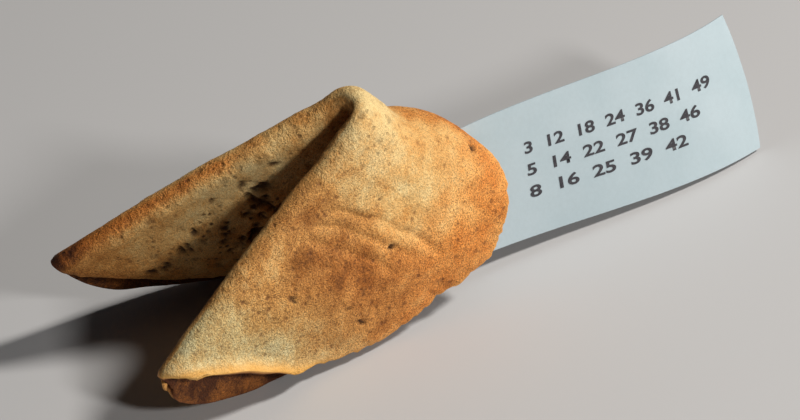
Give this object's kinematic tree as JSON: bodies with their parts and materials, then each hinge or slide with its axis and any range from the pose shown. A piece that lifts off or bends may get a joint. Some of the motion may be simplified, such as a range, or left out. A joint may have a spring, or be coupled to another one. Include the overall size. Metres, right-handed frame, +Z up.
{
  "type": "fortune cookie",
  "caption": "Folded fortune cookie with a printed paper slip coming out of the open side of one wing.",
  "frame": {"origin": "on the surface the cookie rests on, under the middle of the whole object's box", "axes": "+Z up, +Y along the object from the tips of the wings to the free end of the slip, +X from the far wing to the near wing"},
  "size_m": [0.0298, 0.0902, 0.0316],
  "materials": {
    "baked_wafer": "baked, dry and finely pored",
    "slip_paper": "matt printed paper"
  },
  "bodies": {
    "root": {"cookie": "baked_wafer", "fortune_slip": "slip_paper"}
  },
  "joints": []
}
